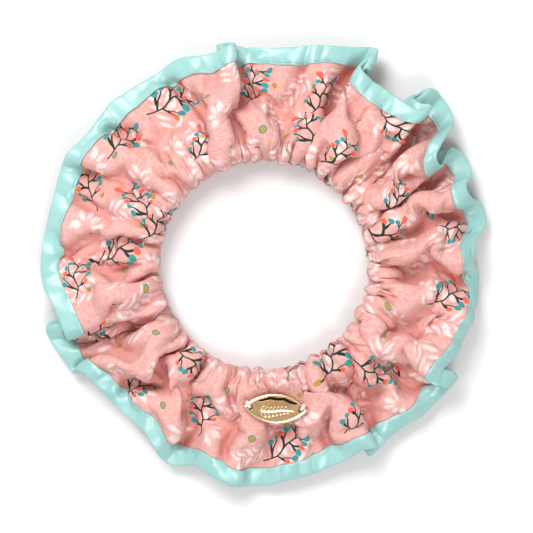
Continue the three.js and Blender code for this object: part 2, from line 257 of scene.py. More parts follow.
def bottom_layer(phi, s):
    """From the inner fold in a quarter turn to the base, along the ground, then up to the frill's edge."""
    turn = np.clip(s / BASE_AT, 0, 1) * math.pi / 2
    radius = BASE_R - (BASE_R - INNER_R) * np.cos(turn)
    inner = polar(radius, phi, FOLD_Z - (FOLD_Z - BASE_Z) * np.sin(turn))
    base = polar(BASE_R, phi, BASE_Z)
    ground = polar(GROUND_R, phi, BASE_Z)
    flat_end = BASE_AT + FLAT_RUN
    flat = np.clip((s - BASE_AT) / FLAT_RUN, 0, 1)[..., None]
    rise = np.clip((s - flat_end) / (HALF_WIDTH - flat_end), 0, 1)[..., None]
    outer = base + (ground - base) * flat + (EDGE[:, None, :] - ground) * rise
    return np.where((s <= BASE_AT)[..., None], inner, outer)


def hanging_bulge(s):
    """How far the cloth above the hanging parts of the frill stands out and up."""
    edge_angle = np.degrees(np.arctan2(EDGE[:, 1], EDGE[:, 0]))
    hang = np.interp(edge_angle, *zip(*HANGING))[:, None]
    hump = hang * smoothstep(s, 22, 33) * (1 - smoothstep(s, 33.5, HALF_WIDTH))
    return polar(HANG_OUT * hump, np.radians(edge_angle)[:, None], HANG_UP * hump)


def base_cloth():
    """The ungathered cloth: a tube at the inner fold, running out to the frill's edge in two layers."""
    phi = inner_angles()[:, None]
    s = np.abs(ACROSS)[None, :]
    on_top = (ACROSS >= 0)[None, :, None]
    return np.where(on_top, top_layer(phi, s), bottom_layer(phi, s)) + hanging_bulge(s)


def surface_normals(cloth):
    """Unit normals of the grid: up on the top layer, down on the bottom one."""
    along = np.roll(cloth, -1, axis=0) - np.roll(cloth, 1, axis=0)
    across = np.gradient(cloth, axis=1)
    normal = np.cross(across, along)
    return normal / np.maximum(np.linalg.norm(normal, axis=2, keepdims=True), 1e-9)


def valley_lines(cloth):
    """Each listed valley as the place along the strip that it has at every row of the top layer."""
    top = ROWS // 2
    plan = cloth[:, top:, :2]
    lines = []
    for points, depth, lean in VALLEYS:
        places = []
        for x, y in points:
            near = np.argmin(((plan - (x, y)) ** 2).sum(axis=2))
            column, row = divmod(int(near), plan.shape[1])
            places.append((ACROSS[top + row], ALONG[column]))
        places.sort()
        across = np.array([across for across, _ in places])
        along = np.unwrap([along for _, along in places], period=EDGE_LENGTH)
        lines.append((across, along, depth, lean))
    return lines


def press_valleys(cloth):
    """Sinks each valley into the top layer and leans the panel at one side of it over it."""
    normal = surface_normals(cloth)
    tangent = np.roll(cloth, -1, axis=0) - np.roll(cloth, 1, axis=0)
    tangent /= np.linalg.norm(tangent, axis=2, keepdims=True)
    change = np.zeros_like(cloth)
    for across, along, depth, lean in valley_lines(cloth):
        centre = np.interp(ACROSS, across, along)
        inside = smoothstep(ACROSS, across[0] - 7, across[0] + 3)
        inside = inside * (1 - smoothstep(ACROSS, across[-1] - 1, across[-1] + 6))
        inside = inside * (ACROSS > 0) * (1 - smoothstep(ACROSS, HALF_WIDTH - 7, HALF_WIDTH - 1))
        away = wrapped(ALONG[:, None] - centre[None, :])
        sunk = np.exp(-(away / SINK_WIDTH) ** 2)
        raised = np.exp(-((away - lean * RISE_ASIDE) / RISE_WIDTH) ** 2)
        over = np.exp(-((away - lean * LEAN_ASIDE) / LEAN_WIDTH) ** 2)
        change += normal * ((VALLEY_RISE * raised - VALLEY_SINK * sunk) * inside * depth)[..., None]
        change += tangent * (-lean * VALLEY_LEAN * depth * over * inside)[..., None]
    return cloth + change


def ridges(rng, pitch, rise, reach, slant):
    """Height of round ridges with sharp valleys between them, which run out from the inner fold and die away.
    Each wanders from its even pitch and its straight way out, and has its own height and length."""
    s = np.abs(ACROSS)[None, :]
    even = 2 * math.pi * ALONG / EDGE_LENGTH * round(EDGE_LENGTH / pitch)
    phase = (even + 2 * wander(rng, 6) + 3 * wander(rng, 25))[:, None]
    phase = phase + slant * s * wander(rng, 9)[:, None]
    height = rise * np.clip(1 + 0.45 * wander(rng, 5), 0.3, 2)[:, None]
    length = reach * np.clip(1 + 0.35 * wander(rng, 4), 0.5, 1.8)[:, None]
    low_at_fold = 0.28 + 0.72 * smoothstep(s, 0, 7)
    fading = low_at_fold * np.exp(-(s / length) ** 2)
    sharpness = 0.65
    return height * fading * (2 * np.abs(np.sin(phase / 2)) ** sharpness - 1)


def swells(rng):
    """Height of the broad folds that the gathers run into."""
    s = np.abs(ACROSS)[None, :]
    even = 2 * math.pi * ALONG / EDGE_LENGTH * round(EDGE_LENGTH / SWELL_PITCH)
    phase = (even + 1.6 * wander(rng, 14))[:, None]
    phase = phase + 0.05 * s * wander(rng, 16)[:, None]
    swell = smoothstep(s, 4, 13) * (1 - smoothstep(s, 18, 31))
    height = np.clip(1 + 0.5 * wander(rng, 9), 0.2, 2)[:, None]
    return SWELL_RISE * swell * height * np.sin(phase)


def pairs(columns, rows):
    """Pairs of grid points: neighbours both ways, diagonals, and points two and four steps apart. Each group
    uses a point once, so that it is solved at a stroke."""
    index = np.arange(columns * rows).reshape(columns, rows)
    ahead = np.roll(index, -1, axis=0)
    groups = []
    for start in (0, 1):
        groups.append(("along", 1, index[start::2], ahead[start::2]))
        groups.append(("across", 1, index[:, start:-1:2], index[:, start + 1::2]))
        groups.append(("diagonal", 1, index[start::2, :-1], ahead[start::2, 1:]))
        groups.append(("diagonal", 1, index[start::2, 1:], ahead[start::2, :-1]))
    for reach in (2, 4):
        far = np.roll(index, -reach, axis=0)
        for start in (0, 1):
            chosen = np.arange(columns)[(np.arange(columns) // reach) % 2 == start]
            groups.append(("along", reach, index[chosen], far[chosen]))
            chosen = np.arange(rows - reach)[(np.arange(rows - reach) // reach) % 2 == start]
            groups.append(("across", reach, index[:, chosen], index[:, chosen + reach]))
    return [(kind, reach, a.ravel(), b.ravel()) for kind, reach, a, b in groups]


# Settling: how much of its last move each point keeps, how far it falls in a step, how stiff the weave is on
# the slant, and how near together points two or four steps apart may come before stiffness pushes them off.
MOMENTUM = 0.85
GRAVITY = 0.003
SLANT_STIFFNESS = 0.2
BEND_SLACK = 0.94


def rules(columns, rows, free, bending):
    """What holds between pairs of points: the two points, the gap they want, whether the gap may also be
    wider, and how far each point gives way. bending is the stiffness two and four steps apart."""
    dv = 2 * HALF_WIDTH / (rows - 1)
    du = EDGE_LENGTH / columns * np.tile(FULLNESS[::ROWS // (rows - 1)], columns)
    for kind, reach, a, b in pairs(columns, rows):
        rest = {"along": du[a], "across": dv, "diagonal": np.hypot(du[a], dv)}[kind] * reach
        stiffness = {1: SLANT_STIFFNESS if kind == "diagonal" else 1.0, 2: bending[0], 4: bending[1]}[reach]
        slack = 1 if reach == 1 else BEND_SLACK
        share = stiffness / np.maximum(free[a] + free[b], 1)
        shares = np.float32(share * free[a]), np.float32(share * free[b])
        yield a, b, np.float32(slack * rest), reach > 1, *shares


def settle(cloth, steps, hold, bending):
    """Lets the cloth find its length: threads neither stretch nor shrink, and it lies on the floor. hold is
    how firmly each row keeps its place."""
    columns, rows = cloth.shape[:2]
    step = ROWS // (rows - 1)
    points = cloth.reshape(-1, 3).astype(np.float32)
    home = points.copy()
    pinned = np.tile(np.abs(ACROSS[::step]) > HALF_WIDTH - 0.01, columns)
    hold = np.where(pinned, 1, np.tile(hold[::step], columns)).astype(np.float32)[:, None]
    groups = list(rules(columns, rows, np.where(pinned, 0, 1), bending))
    before = points.copy()
    for _ in range(steps):
        moved = points + MOMENTUM * (points - before)
        moved[:, 2] -= GRAVITY
        before = points.copy()
        points = moved
        for a, b, rest, may_be_wider, share_a, share_b in groups:
            gap = points[b] - points[a]
            length = np.sqrt((gap * gap).sum(axis=1)) + 1e-6
            error = (length - rest) / length
            if may_be_wider:
                error = np.minimum(error, 0)
            points[a] += (share_a * error)[:, None] * gap
            points[b] -= (share_b * error)[:, None] * gap
        points += hold * (home - points)
        points[:, 2] = np.maximum(points[:, 2], FLOOR_Z)
    return points.reshape(columns, rows, 3).astype(float)


def halfway(before, a, b, beyond):
    """The point halfway from a to b on a smooth curve through all four."""
    return (9 * (a + b) - before - beyond) / 16


def finer(values):
    """Twice as many points along the ring and across it, on smooth curves through the given ones."""
    before, after, beyond = (np.roll(values, k, axis=0) for k in (1, -1, -2))
    middle = halfway(before, values, after, beyond)
    values = np.stack([values, middle], axis=1).reshape(-1, *values.shape[1:])
    first = 2 * values[:, :1] - values[:, 1:2]
    last = 2 * values[:, -1:] - values[:, -2:-1]
    wide = np.concatenate([first, values, last], axis=1)
    out = np.empty((len(values), 2 * values.shape[1] - 1, 3))
    out[:, ::2] = values
    out[:, 1::2] = halfway(wide[:, :-3], wide[:, 1:-2], wide[:, 2:-1], wide[:, 3:])
    return out


def relax(cloth):
    """Settles the folds on a coarse grid first and then on finer ones, keeping what a finer grid shows."""
    moved = np.zeros((COLUMNS // 8, ROWS // 8 + 1, 3))
    for step, rounds, bending in ((8, 60, (0.12, 0)), (4, 50, (0.2, 0.08)), (2, 40, (0.15, 0.04))):
        start = cloth[::step, ::step] + moved
        start[..., 2] = np.maximum(start[..., 2], FLOOR_Z)
        moved = finer(settle(start, rounds, HOLD, bending) - cloth[::step, ::step])
    return cloth + moved


def close_frill(cloth):
    """Lays the bottom layer close under the top one where the two make the frill."""
    middle = ROWS // 2
    gap = FRILL_GAP * np.clip((HALF_WIDTH - ACROSS[middle:]) / 2, 0, 1)[None, :, None]
    under = cloth[:, middle:] - surface_normals(cloth)[:, middle:] * gap
    share = smoothstep(ACROSS[middle:], FRILL_FROM - FRILL_BLEND, FRILL_FROM)[None, :, None]
    bottom = cloth[:, middle::-1] * (1 - share) + under * share
    return np.concatenate([bottom[:, :0:-1], cloth[:, middle:]], axis=1)


def press_under_charm(cloth):
    """Flattens the top layer under the charm, which is sewn down on it."""
    lowest = cad_box("charm_plate")[0][2] - CHARM_SINK
    x = (cloth[..., 0] - CHARM_X) / (CHARM_LENGTH / 2)
    y = (cloth[..., 1] - CHARM_Y) / (CHARM_WIDTH / 2)
    limit = lowest + CHARM_DENT_SLOPE * np.clip(np.hypot(x, y) - 1.05, 0, None)
    cloth[..., 2] = np.minimum(cloth[..., 2], limit)
    return cloth


def make_cloth():
    """The whole cotton strip in its place: folds first, then the gathers at the inner fold."""
    rng = np.random.default_rng(SEED)
    gathers = ridges(rng, **FINE_GATHERS) + ridges(rng, **LONG_GATHERS)
    cloth = base_cloth()
    rounds_of_smoothing = 8
    for _ in range(rounds_of_smoothing):
        cloth[:, 1:-1] += 0.5 * (0.5 * (cloth[:, 2:] + cloth[:, :-2]) - cloth[:, 1:-1])
    cloth = press_valleys(cloth)
    cloth += surface_normals(cloth) * swells(rng)[..., None]
    cloth[..., 2] = np.maximum(cloth[..., 2], FLOOR_Z)
    cloth = relax(cloth)
    cloth += surface_normals(cloth) * gathers[..., None]
    cloth[..., 2] = np.maximum(cloth[..., 2], FLOOR_Z)
    cloth = settle(cloth, 8, HOLD, (0.1, 0.03))
    return close_frill(press_under_charm(cloth))


CLOTH = make_cloth()
CLOTH_NORMAL = surface_normals(CLOTH)


# ---- Meshes ----

def faces_between(columns, rows, closed_round, closed_across):
    """Quads between the points of a grid, which may close on itself along the ring and across it."""
    index = np.arange(columns * rows).reshape(columns, rows)
    if closed_round:
        index = np.concatenate([index, index[:1]])
    if closed_across:
        index = np.concatenate([index, index[:, :1]], axis=1)
    corners = (index[:-1, :-1], index[:-1, 1:], index[1:, 1:], index[1:, :-1])
    return np.stack(corners, axis=-1).reshape(-1, 4)


def band(outer, inner, closed):
    """A strip with thickness, from the grids of its two faces. Returns its points and its quads."""
    profile = np.concatenate([outer, inner[:, ::-1]], axis=1)
    columns, rows = profile.shape[:2]
    faces = faces_between(columns, rows, closed, True)
    if not closed:
        index = np.arange(columns * rows).reshape(columns, rows)
        half = rows // 2
        near, far = index[[0, -1], :half], index[[0, -1], half:][:, ::-1]
        ends = np.stack([near[:, :-1], far[:, :-1], far[:, 1:], near[:, 1:]], axis=-1)
        faces = np.concatenate([faces, ends[0], ends[1][:, ::-1]])
    return profile.reshape(-1, 3), faces


def point_normals(points, faces):
    """Unit normals at the points, averaged over the quads around each."""
    a, b, c, d = (points[faces[:, k]] for k in range(4))
    flat = np.cross(c - a, d - b)
    normal = np.zeros_like(points)
    for k in range(4):
        np.add.at(normal, faces[:, k], flat)
    return normal / np.maximum(np.linalg.norm(normal, axis=1, keepdims=True), 1e-12)


def add_mesh(name, points, faces, normals, material, maps=None):
    """A smooth mesh of the given quads alone. maps gives named coordinates for every corner of every quad."""
    used, local = np.unique(faces, return_inverse=True)
    mesh = bpy.data.meshes.new(name)
    mesh.from_pydata((points[used] * MM).tolist(), [], local.reshape(faces.shape).tolist())
    for layer, corners in (maps or {}).items():
        mesh.uv_layers.new(name=layer).data.foreach_set("uv", corners.reshape(-1).astype(np.float32))
    mesh.polygons.foreach_set("use_smooth", np.ones(len(faces), bool))
    mesh.normals_split_custom_set_from_vertices(normals[used].tolist())
    mesh.materials.append(material)
    piece = bpy.data.objects.new(name, mesh)
    bpy.context.collection.objects.link(piece)
    return piece


# The ring is eight arcs between the middles of neighbouring CAD sectors, anticlockwise from the front. Each
# arc lies between the two bodies named first and stands for the CAD nodes named last.
ARCS = [
    ("front", "front_right", ["front", "front_right"]),
    ("front_right", "right", ["right"]),
    ("right", "back_right", ["back_right"]),
    ("back_right", "back_right_end", ["back_right_end"]),
    ("back_left", "back_left_end", ["back_left_end"]),
    ("left", "back_left", ["back_left"]),
    ("front_left", "left", ["left"]),
    ("front", "front_left", ["front_left"]),
]
HALF_RING = len(ARCS) // 2
SECTOR = math.tau / len(ARCS)


def arc_of(points):
    """Which of the eight arcs each point lies in."""
    turned = np.arctan2(points[:, 1], points[:, 0]) + math.pi / 2
    return (turned % math.tau // SECTOR).astype(int) % len(ARCS)


def add_ring(name, node, points, faces, material, maps=None, arcs=None):
    """Adds a mesh that runs round the ring as eight pieces, each lying between two CAD bodies.

    Each half of the ring starts at the front body, so arcs on the left run clockwise."""
    normals = point_normals(points, faces)
    arcs = arc_of(points[faces].mean(axis=1)) if arcs is None else arcs
    pieces = []
    for number, (first, second, places) in enumerate(ARCS):
        chosen = arcs == number
        chosen_maps = {layer: corners[chosen] for layer, corners in (maps or {}).items()}
        on_right = number < HALF_RING
        label = second if on_right else f"{second}_side"
        piece = add_mesh(f"{name}_{label}", points, faces[chosen], normals, material, chosen_maps)
        ends = [number, number + 1] if on_right else [number + 1, number]
        rays = [end * SECTOR - math.pi / 2 for end in ends]
        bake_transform(piece)
        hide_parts(*(f"{node}_{place}" for place in places))
        pieces.append(piece)
    return pieces


def tubes(paths, radius, sides=8, closed=False):
    """Points and quads of thin round tubes along equally long paths, pinched shut at their open ends."""
    count, stations = paths.shape[:2]
    if closed:
        tangent = np.roll(paths, -1, axis=1) - np.roll(paths, 1, axis=1)
        size = np.ones(stations)
        away = paths - paths.mean(axis=1, keepdims=True)
    else:
        tangent = np.gradient(paths, axis=1)
        size = np.sqrt(np.clip(1 - np.linspace(-1, 1, stations) ** 6, 0.01, 1))
        near_vertical = [0.1, 0.2, 1.0]
        away = np.broadcast_to(near_vertical, paths.shape)
    tangent /= np.linalg.norm(tangent, axis=2, keepdims=True)
    side = np.cross(tangent, away)
    side /= np.maximum(np.linalg.norm(side, axis=2, keepdims=True), 1e-9)
    up = np.cross(side, tangent)
    turn = np.linspace(0, math.tau, sides, endpoint=False)
    ring = np.cos(turn)[:, None] * side[:, :, None] + np.sin(turn)[:, None] * up[:, :, None]
    points = paths[:, :, None] + ring * (radius * size)[None, :, None, None]
    index = np.arange(count * stations * sides).reshape(count, stations, sides)
    index = np.concatenate([index, index[:, :, :1]], axis=2)
    if closed:
        index = np.concatenate([index, index[:, :1]], axis=1)
    corners = (index[:, :-1, :-1], index[:, 1:, :-1], index[:, 1:, 1:], index[:, :-1, 1:])
    faces = np.stack(corners, axis=-1).reshape(-1, 4)
    return points.reshape(-1, 3), faces


# ---- Shader arithmetic ----

class Sum:
    """A number at every point of a surface: a shader socket that takes part in plain arithmetic."""

    def __init__(self, tree, socket):
        self.tree, self.socket = tree, socket

    def do(self, operation, *others, clamp=False):
        """The result of one of Blender's math operations on this and the others."""
        math_node = self.tree.nodes.new("ShaderNodeMath")
        math_node.operation = operation
        math_node.use_clamp = clamp
        self.tree.links.new(self.socket, math_node.inputs[0])
        for k, other in enumerate(others, start=1):
            if isinstance(other, Sum):
                self.tree.links.new(other.socket, math_node.inputs[k])
            else:
                math_node.inputs[k].default_value = other
        return Sum(self.tree, math_node.outputs[0])

    def __add__(self, other):
        return self.do("ADD", other)

    def __sub__(self, other):
        return self.do("SUBTRACT", other)

    def __mul__(self, other):
        return self.do("MULTIPLY", other)

    def __neg__(self):
        return self.do("MULTIPLY", -1)

    def __abs__(self):
        return self.do("ABSOLUTE")

    def atleast(self, other):
        """The greater of this and other."""
        return self.do("MAXIMUM", other)

    def atmost(self, other):
        """The lesser of this and other."""
        return self.do("MINIMUM", other)

    def over(self, other):
        """1 where this is greater than other, else 0."""
        return self.do("GREATER_THAN", other)

    def remainder(self):
        """What is missing to 1."""
        return self * -1 + 1

    def clamped(self):
        """This, kept between 0 and 1."""
        return self.do("MULTIPLY", 1.0, clamp=True)

    def wave(self, pitch):
        """A sine wave with the given wavelength."""
        return (self * (math.tau / pitch)).do("SINE")

    def length(self, other):
        """The length of the vector that this and other make."""
        return (self * self + other * other).do("SQRT")

    def eased(self, low, high):
        """0 up to low, 1 from high, eased in between. With low above high it falls instead."""
        ramp = self.tree.nodes.new("ShaderNodeMapRange")
        ramp.interpolation_type = "SMOOTHSTEP"
        ramp.inputs["From Min"].default_value = min(low, high)
        ramp.inputs["From Max"].default_value = max(low, high)
        ramp.inputs["To Min"].default_value = float(low > high)
        ramp.inputs["To Max"].default_value = float(low < high)
        self.tree.links.new(self.socket, ramp.inputs["Value"])
        return Sum(self.tree, ramp.outputs["Result"])


class Surface:
    """A material under construction."""

    def __init__(self, name, **settings):
        self.material = bpy.data.materials.new(name)
        self.material.use_nodes = True
        self.tree = self.material.node_tree
        self.shader = self.tree.nodes["Principled BSDF"]
        for socket, value in settings.items():
            self.shader.inputs[socket.replace("_", " ")].default_value = value

    def coordinates(self, layer):
        """The two numbers of a named layer of coordinates, in millimetres."""
        uv = self.tree.nodes.new("ShaderNodeUVMap")
        uv.uv_map = layer
        return self.split(uv.outputs["UV"])

    def split(self, vector):
        """The three parts of a vector."""
        parts = self.tree.nodes.new("ShaderNodeSeparateXYZ")
        self.tree.links.new(vector, parts.inputs[0])
        return tuple(Sum(self.tree, output) for output in parts.outputs)

    def join(self, x, y, z=None):
        """A vector from its parts."""
        vector = self.tree.nodes.new("ShaderNodeCombineXYZ")
        for number, socket in zip((x, y, z), vector.inputs):
            if number is not None:
                self.tree.links.new(number.socket, socket)
        return vector.outputs[0]

    def place(self):
        """The point's own place, in millimetres."""
        source = self.tree.nodes.new("ShaderNodeTexCoord")
        x, y, z = self.split(source.outputs["Object"])
        return x * (1 / MM), y * (1 / MM), z * (1 / MM)

    def noise(self, vector, scale, detail=2.0):
        """Smooth random numbers from 0 to 1."""
        texture = self.tree.nodes.new("ShaderNodeTexNoise")
        texture.inputs["Scale"].default_value = scale
        texture.inputs["Detail"].default_value = detail
        self.tree.links.new(vector, texture.inputs["Vector"])
        return Sum(self.tree, texture.outputs["Fac"])

    def openness(self, reach):
        """How open the surface is, from 0 deep in a fold to 1, counting what lies within reach of it."""
        node = self.tree.nodes.new("ShaderNodeAmbientOcclusion")
        node.samples = 8
        node.inputs["Distance"].default_value = reach * MM
        return Sum(self.tree, node.outputs["AO"])

    def mix(self, factor, below, above):
        """A colour: below where factor is 0 and above where it is 1."""
        mixer = self.tree.nodes.new("ShaderNodeMix")
        mixer.data_type = "RGBA"
        self.tree.links.new(factor.socket, mixer.inputs["Factor"])
        for colour, socket in ((below, mixer.inputs[6]), (above, mixer.inputs[7])):
            if isinstance(colour, tuple):
                socket.default_value = (*colour, 1)
            else:
                self.tree.links.new(colour, socket)
        return mixer.outputs[2]

    def bump(self, height, strength, distance):
        """Tilts the shading as if the surface stood up by height times distance, in millimetres."""
        node = self.tree.nodes.new("ShaderNodeBump")
        node.inputs["Strength"].default_value = strength
        node.inputs["Distance"].default_value = distance * MM
        self.tree.links.new(height.socket, node.inputs["Height"])
        self.tree.links.new(node.outputs[0], self.shader.inputs["Normal"])

    def feed(self, socket, value):
        """Drives one of the shader's inputs."""
        self.tree.links.new(value.socket if isinstance(value, Sum) else value, self.shader.inputs[socket])


# ---- Materials ----

PINK = (0.695, 0.425, 0.395)
PINK_DEEP = (0.66, 0.27, 0.235)
# painted shade: the deeper pink painted inside the folds
PINK_PAINTED_FOLD_SHADE = (0.66, 0.22, 0.18)
WHITE_PRINT = (0.88, 0.81, 0.80)
STEM = (0.008, 0.028, 0.022)
TEAL = (0.035, 0.27, 0.27)
CORAL = (0.90, 0.115, 0.07)
MUSTARD = (0.42, 0.25, 0.05)
SATIN_DEEP = (0.205, 0.44, 0.42)
SATIN_PALE = (0.345, 0.58, 0.55)
MINT_THREAD = ((0.20, 0.46, 0.44), (0.38, 0.62, 0.59))
WHITE_THREAD = ((0.50, 0.47, 0.43), (0.76, 0.73, 0.68))
ELASTIC_WORN = (0.78, 0.75, 0.69)
ELASTIC_WHITE = (0.88, 0.87, 0.84)
GOLD_DULL = (0.52, 0.32, 0.16)
GOLD_CLOUDY = (0.66, 0.43, 0.22)
# the raised lines' polished gold, lightened further as painted highlight
GOLD_POLISH_AND_HIGHLIGHT = (0.98, 0.80, 0.52)
# near-black painted shadow for the plate's back and its groove
PAINTED_SHADOW_BLACK = (0.03, 0.02, 0.015)
KIND = 100.0  # a motif's coordinates carry this much more along x where it is of its second kind
FAR = 9  # further than any motif reaches


def sprig_print(surface):
    """Masks of the sprig's stem and of its berries, all of them and the red ones: a bent stem with three
    forked twigs on each side, and a berry on every prong."""
    x, y = surface.coordinates("sprig")[:2]
    wobble = surface.noise(surface.join(x, y), 0.16, 1.0)
    sway = surface.noise(surface.join(y, x), 0.19, 1.0)
    x = x + (wobble - 0.5) * 4.0 - y * y * 0.02
    y = y + (sway - 0.5) * 3.0
    pitch, slope, reach, fork, fork_at = 4.1, 0.7, 4.2, 0.46, 0.4
    across = abs(x)
    left = (-x).over(0)
    height = y + 6.0 - across * slope - left * 1.5
    level = height.do("DIVIDE", pitch).do("FLOOR")
    outside = (level.over(-0.5) * (-level).over(-2.5)).remainder() * FAR
    twig = height - level * pitch - pitch / 2
    length = level * -0.5 + reach
    past_fork = (across - length * fork_at).atleast(0)
    spread = abs(abs(twig) - past_fork * fork)
    prongs = (spread * 0.85).atleast(across - length)
    stem = abs(x).atleast(abs(y + 0.5) - 6.0)
    dark = stem.atmost(prongs + outside).eased(0.36, 0.2)
    beyond = across - length
    beside = abs(twig) - length * ((1 - fork_at) * fork)
    upper = twig.over(0)
    berry = beyond.length(beside + beyond * slope * (upper * 2 - 1))
    top_berry = x.length(y - 5.6)
    berries = (berry + outside).atmost(top_berry).eased(0.9, 0.76)
    turn = (level * 2 + upper + left * 2).do("MODULO", 3)
    return dark, berries, berries * turn.over(1.5)


def leaf_print(surface):
    """Mask of the white motifs: a fern of brushed petals or, of the second kind, a fan of them."""
    x, y = surface.coordinates("leaf")[:2]
    fan = x.over(KIND / 2)
    x = x - fan * KIND
    wobble = surface.noise(surface.join(x, y), 0.3, 1.0)
    x = x + (wobble - 0.5) * 2.2
    y = y + (wobble - 0.5) * 2.2
    pitch, slope = 2.7, 0.8
    across = abs(x)
    height = y + 5.0 - across * slope + (-x).over(0) * 1.0
    level = height.do("DIVIDE", pitch).do("FLOOR")
    inside = level.over(-0.5) * (-level).over(-4.5)
    along = (across - 2.1 + level * 0.12) * 0.62
    petal = along.length((height - level * pitch - pitch / 2) * 1.2) + inside.remainder() * FAR
    turn = y.do("ARCTAN2", x)
    step, middle, spread = 0.7, 1.4, 1.75
    nearest = turn - (turn * (1 / step)).do("ROUND") * step
    radius = x.length(y)
    ray = ((radius - 3.1) * 0.55).length(radius * nearest * 1.35) + abs(turn - middle).over(spread) * FAR
    shape = petal * fan.remainder() + ray * fan
    worn = surface.noise(surface.join(x, y), 2.2, 3.0)
    return shape.eased(1.35, 0.4) * worn.eased(0.25, 0.55)


def dot_print(surface):
    """Masks of the mustard dots and of the teal ring that some have."""
    x, y = surface.coordinates("dot")[:2]
    ringed = x.over(KIND / 2)
    away = (x - ringed * KIND).length(y * 0.85)
    return away.eased(0.74, 0.6), away.eased(1.0, 0.86) * ringed


def weave(surface, pitch):
    """Height of a plain weave whose threads vary in thickness, and a slow unevenness in their colour."""
    u, v = surface.coordinates("cloth")[:2]
    warp = surface.noise(surface.join(u * (1 / pitch), v * 0.45), 1.0, 1.0)
    weft = surface.noise(surface.join(u * 0.45, v * (1 / pitch)), 1.0, 1.0)
    threads = u.wave(pitch) + v.wave(pitch)
    slub = warp + weft
    return threads * 0.25 + slub, slub


def creases(surface):
    """Height of the fine creases that run out from the inner fold and die away."""
    u, v = surface.coordinates("cloth")[:2]
    crease = surface.noise(surface.join(u * 0.4, v * 0.04), 1.0, 2.0)
    return crease * abs(v).eased(20, 4)


THREAD_PITCH = 0.42
CREASE_HEIGHT = 14  # in the same measure as the weave's own height
# how far round it the painted fold shade looks for cloth that closes it in
PAINTED_SHADE_REACH = 9


def printed_cotton():
    """Pink plain-weave cotton with sprigs, white brushed leaves and mustard dots.

    The pink is painted deeper inside the folds: painted shade, standing for the deep pink that real cloth has
    where it throws light on itself."""
    surface = Surface("printed cotton", Roughness=0.95, Sheen_Weight=0.15, Sheen_Roughness=0.6)
    surface.shader.inputs["Sheen Tint"].default_value = (1.0, 0.72, 0.68, 1)
    surface.shader.inputs["Specular IOR Level"].default_value = 0.12
    height, slub = weave(surface, THREAD_PITCH)
    u, v = surface.coordinates("cloth")[:2]
    blotch = surface.noise(surface.join(u, v), 0.12)
    tone = (slub * 1.6 + blotch * 0.6 - 1.3).clamped()
    cloth = surface.mix(tone, PINK_DEEP, PINK)
    # painted shade: the pink turns deeper where folds close the cloth in
    cloth = surface.mix(surface.openness(PAINTED_SHADE_REACH).eased(0.85, 0.3) * 0.6, cloth, PINK_PAINTED_FOLD_SHADE)
    cloth = surface.mix(leaf_print(surface) * 0.7, cloth, WHITE_PRINT)
    dot, ring = dot_print(surface)
    cloth = surface.mix(ring, cloth, TEAL)
    cloth = surface.mix(dot, cloth, MUSTARD)
    dark, berries, red = sprig_print(surface)
    cloth = surface.mix(dark, cloth, STEM)
    cloth = surface.mix(berries, cloth, TEAL)
    cloth = surface.mix(red, cloth, CORAL)
    surface.feed("Base Color", cloth)
    surface.bump(height + creases(surface) * CREASE_HEIGHT, 0.7, 0.15)
    return surface.material


def satin():
    """Mint satin tape: fine ribs across it and an uneven gloss that its threads stretch to one side."""
    surface = Surface("satin", Sheen_Weight=0.1, Sheen_Roughness=0.35,
                      Anisotropic=0.75, Anisotropic_Rotation=0.25)
    surface.shader.inputs["Sheen Tint"].default_value = (0.85, 1.0, 0.98, 1)
    surface.shader.inputs["Specular IOR Level"].default_value = 0.85
    u, v = surface.coordinates("cloth")[:2]
    ribs = u.wave(0.34)
    threads = surface.noise(surface.join(u * 0.35, v * 6), 1.0, 2.0)
    blotch = surface.noise(surface.join(u, v), 0.18)
    tone = (threads * 0.5 + blotch * 0.7 - 0.1).clamped()
    surface.feed("Base Color", surface.mix(tone, SATIN_DEEP, SATIN_PALE))
    surface.feed("Roughness", threads * 0.1 + 0.29)
    surface.bump(ribs * 0.2 + threads, 0.25, 0.08)
    return surface.material


def thread(name, dark, light):
    """Twisted sewing thread, with its plies as slanting ridges and painted shade between them."""
    surface = Surface(name, Roughness=0.6, Sheen_Weight=0.3)
    x, y, z = surface.place()
    plies = (x + y + z * 1.3).wave(0.45)
    fuzz = surface.noise(surface.join(x, y, z), 5.0)
    # painted shade: darker between the plies and lighter on them, and uneven at random besides
    surface.feed("Base Color", surface.mix((plies * 0.35 + fuzz).clamped(), dark, light))
    surface.bump(plies * 0.5 + fuzz, 0.5, 0.08)
    return surface.material


def braided_elastic():
    """White braided elastic: chevrons along it, a little yellowed."""
    surface = Surface("braided elastic", Roughness=0.7, Sheen_Weight=0.2)
    u, v = surface.coordinates("cloth")[:2]
    chevron = (u + abs((v * (1 / 0.86)).do("SINE")) * 0.6).wave(0.8)
    wear = surface.noise(surface.join(u, v), 0.5)
    surface.feed("Base Color", surface.mix(wear, ELASTIC_WORN, ELASTIC_WHITE))
    surface.bump(chevron, 0.6, 0.12)
    return surface.material


def gold():
    """Pale gold plating: painted bright on the raised lines, for their polish and as painted highlight,
    finely brushed and a little cloudy between them, and painted near-black on the plate's back and in
    the groove as painted shadow."""
    surface = Surface("gold", Metallic=1.0)
    x, y, z = surface.place()
    brushed = surface.noise(surface.join(x * 0.8, y * 9, z), 1.0, 3.0)
    cloud = surface.noise(surface.join(x, y, z), 0.5)
    back = float(cad_box("charm_plate")[0][2])
    face = back + CHARM_THICK
    # painted highlight as well as polish: the raised lines are painted bright
    raised = z.eased(face + 0.03, face + 0.15)
    ground = surface.mix(cloud, GOLD_DULL, GOLD_CLOUDY)
    plated_with_highlight = surface.mix(raised, ground, GOLD_POLISH_AND_HIGHLIGHT)
    # painted shadow: near-black low on the plate, on its back and on the groove's floor
    above_back = z.eased(back + 0.1, back + 0.16)
    surface.feed("Base Color", surface.mix(above_back, PAINTED_SHADOW_BLACK, plated_with_highlight))
    surface.feed("Roughness", brushed * 0.22 + cloud * 0.1 + 0.12)
    surface.bump(brushed, 0.12, 0.05)
    return surface.material


# ---- The print's layout ----

